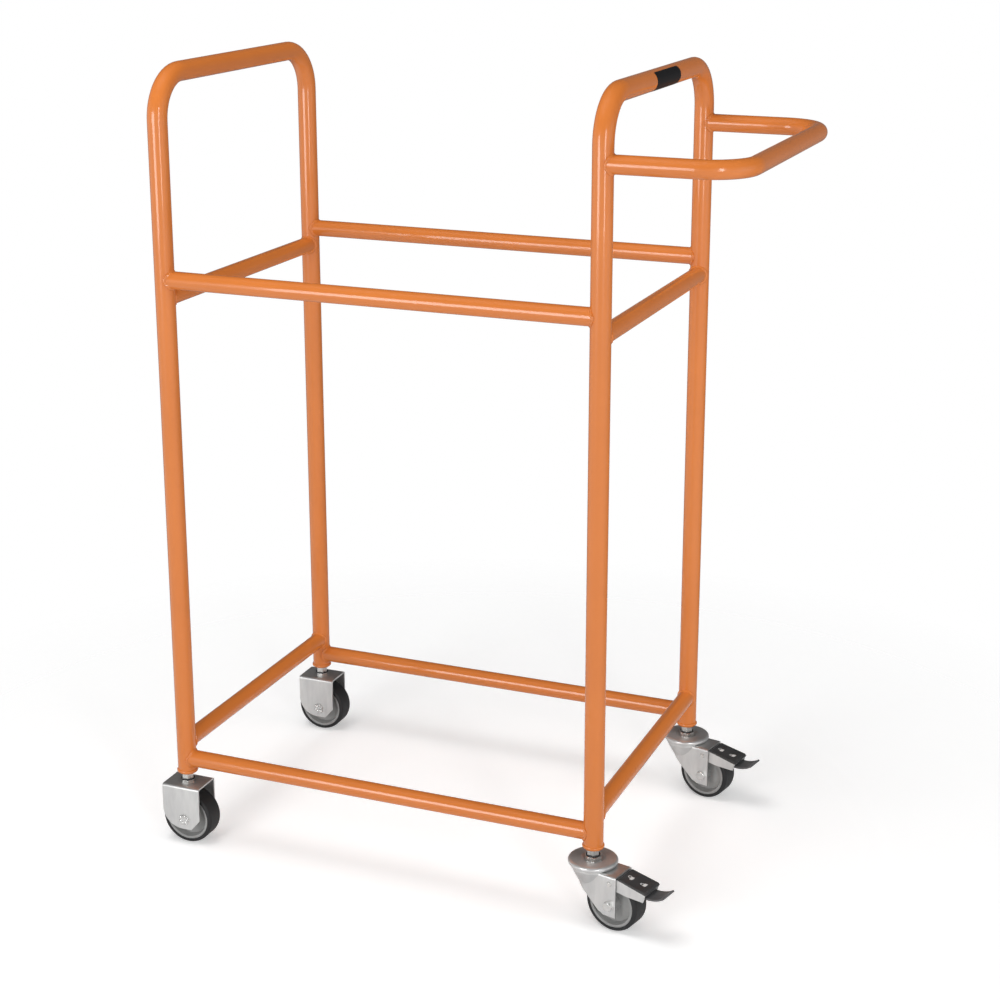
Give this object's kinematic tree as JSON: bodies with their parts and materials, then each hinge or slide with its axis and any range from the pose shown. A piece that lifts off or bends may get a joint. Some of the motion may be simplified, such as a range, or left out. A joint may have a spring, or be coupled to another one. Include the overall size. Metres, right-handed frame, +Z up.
{
  "type": "tyre trolley",
  "caption": "Tall tubular steel trolley for storing and moving car tyres on two open tiers, with end hoops, a push handle, fixed casters and braked swivel casters.",
  "frame": {"origin": "on the floor, under the middle of the trolley", "axes": "+X from the fixed casters to the push handle, +Y from the front to the rear, +Z up"},
  "size_m": [0.868, 0.5165, 1.147],
  "materials": {
    "orange_paint": "orange powder coat, satin",
    "zinc_plate": "zinc plated, satin",
    "dark_washer_steel": "blackened",
    "bush_steel": "machined",
    "ball_steel": "polished",
    "hub_plastic": "moulded, satin",
    "tyre_tread": "moulded rubber, matt",
    "cover_plastic": "moulded, matt",
    "tongue_plastic": "moulded, satin",
    "shoe_rubber": "matt",
    "bright_steel": "bright zinc plated, satin"
  },
  "bodies": {
    "frame": {"left_end_hoop": "orange_paint", "right_end_hoop": "orange_paint", "upper_front_rail": "orange_paint", "upper_rear_rail": "orange_paint", "lower_front_rail": "orange_paint", "lower_rear_rail": "orange_paint", "upper_left_cross_rail": "orange_paint", "upper_right_cross_rail": "orange_paint", "lower_left_cross_rail": "orange_paint", "lower_right_cross_rail": "orange_paint", "push_handle": "orange_paint", "leg_end_bushes": "orange_paint", "rail_weld_beads": "orange_paint", "handle_weld_beads": "orange_paint", "leg_weld_beads": "orange_paint", "stem_nuts": "zinc_plate", "stem_lock_washers": "dark_washer_steel", "fixed_caster_stems": "bright_steel", "front_left_fork": "bright_steel", "rear_left_fork": "bright_steel", "front_left_axle": "bright_steel", "rear_left_axle": "bright_steel", "front_right_kingpin_stem": "bright_steel", "front_right_swivel_head": "zinc_plate", "front_right_bearing_balls": "ball_steel", "rear_right_kingpin_stem": "bright_steel", "rear_right_swivel_head": "zinc_plate", "rear_right_bearing_balls": "ball_steel"},
    "front_left_wheel": {"front_left_hub": "hub_plastic", "front_left_tyre": "tyre_tread", "front_left_wheel_bushes": "bush_steel"},
    "rear_left_wheel": {"rear_left_hub": "hub_plastic", "rear_left_tyre": "tyre_tread", "rear_left_wheel_bushes": "bush_steel"},
    "front_right_swivel": {"front_right_fork": "bright_steel", "front_right_axle_bolt": "bright_steel", "front_right_axle_nut": "zinc_plate", "front_right_brake_rivets": "zinc_plate"},
    "front_right_wheel": {"front_right_hub": "hub_plastic", "front_right_tyre": "tyre_tread", "front_right_wheel_bushes": "bush_steel"},
    "front_right_brake": {"front_right_brake_lever": "bright_steel", "front_right_brake_shoe": "shoe_rubber", "front_right_pedal_cover": "cover_plastic", "front_right_release_tongue": "tongue_plastic"},
    "rear_right_swivel": {"rear_right_fork": "bright_steel", "rear_right_axle_bolt": "bright_steel", "rear_right_axle_nut": "zinc_plate", "rear_right_brake_rivets": "zinc_plate"},
    "rear_right_wheel": {"rear_right_hub": "hub_plastic", "rear_right_tyre": "tyre_tread", "rear_right_wheel_bushes": "bush_steel"},
    "rear_right_brake": {"rear_right_brake_lever": "bright_steel", "rear_right_brake_shoe": "shoe_rubber", "rear_right_pedal_cover": "cover_plastic", "rear_right_release_tongue": "tongue_plastic"}
  },
  "joints": [
    {"name": "front_left_wheel_spin", "type": "hinge", "parent": "frame", "child": "front_left_wheel", "pos_m": [-0.394, -0.22, 0.04], "axis": [0, 1, 0], "continuous": true},
    {"name": "rear_left_wheel_spin", "type": "hinge", "parent": "frame", "child": "rear_left_wheel", "pos_m": [-0.394, 0.22, 0.04], "axis": [0, 1, 0], "continuous": true},
    {"name": "front_right_swivel_turn", "type": "hinge", "parent": "frame", "child": "front_right_swivel", "pos_m": [0.2415, -0.22, 0.085], "axis": [0, 0, 1], "continuous": true},
    {"name": "front_right_wheel_spin", "type": "hinge", "parent": "front_right_swivel", "child": "front_right_wheel", "pos_m": [0.2795, -0.22877, 0.04], "axis": [0.225, 0.9744, 0], "continuous": true},
    {"name": "front_right_brake_press", "type": "hinge", "parent": "front_right_swivel", "child": "front_right_brake", "pos_m": [0.27999, -0.22889, 0.073], "axis": [0.225, 0.9744, 0], "range_deg": [0, 5.5]},
    {"name": "rear_right_swivel_turn", "type": "hinge", "parent": "frame", "child": "rear_right_swivel", "pos_m": [0.2415, 0.22, 0.085], "axis": [0, 0, 1], "continuous": true},
    {"name": "rear_right_wheel_spin", "type": "hinge", "parent": "rear_right_swivel", "child": "rear_right_wheel", "pos_m": [0.27965, 0.21189, 0.04], "axis": [0.2079, 0.9781, 0], "continuous": true},
    {"name": "rear_right_brake_press", "type": "hinge", "parent": "rear_right_swivel", "child": "rear_right_brake", "pos_m": [0.28014, 0.21179, 0.073], "axis": [0.2079, 0.9781, 0], "range_deg": [0, 5.5]}
  ]
}
